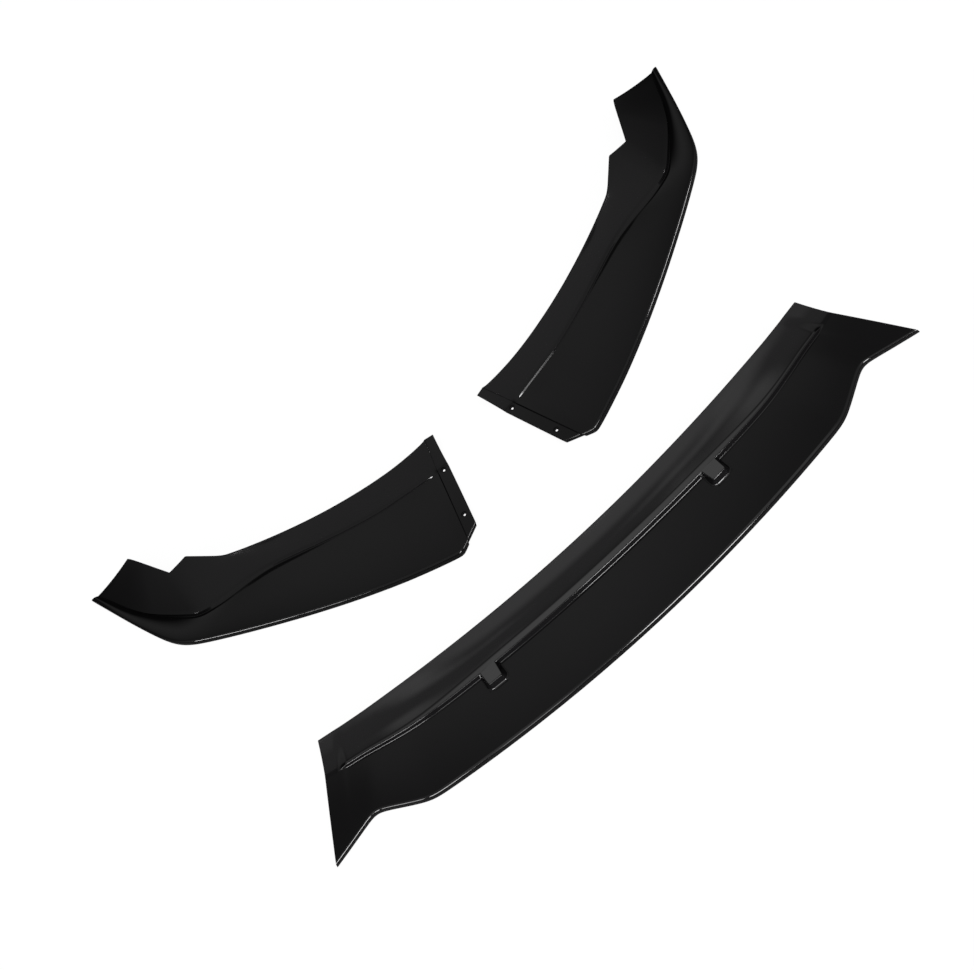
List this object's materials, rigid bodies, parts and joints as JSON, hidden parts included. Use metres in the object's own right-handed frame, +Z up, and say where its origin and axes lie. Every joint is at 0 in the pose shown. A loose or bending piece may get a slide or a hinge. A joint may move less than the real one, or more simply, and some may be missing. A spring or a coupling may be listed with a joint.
{
  "type": "front splitter lip",
  "caption": "Front splitter lip for a car bumper, moulded as a bowed centre section with winged ends and mirrored side sections that lap under it.",
  "frame": {"origin": "middle of the footprint of the laid-out set, at the bottom of the front rims", "axes": "X across the car, +Y towards the rear of the car, +Z up"},
  "size_m": [1.0744, 0.612, 0.0399],
  "materials": {
    "gloss_black": "high gloss"
  },
  "bodies": {
    "root": {"centre_section": "gloss_black", "left_section": "gloss_black", "right_section": "gloss_black"}
  },
  "joints": []
}
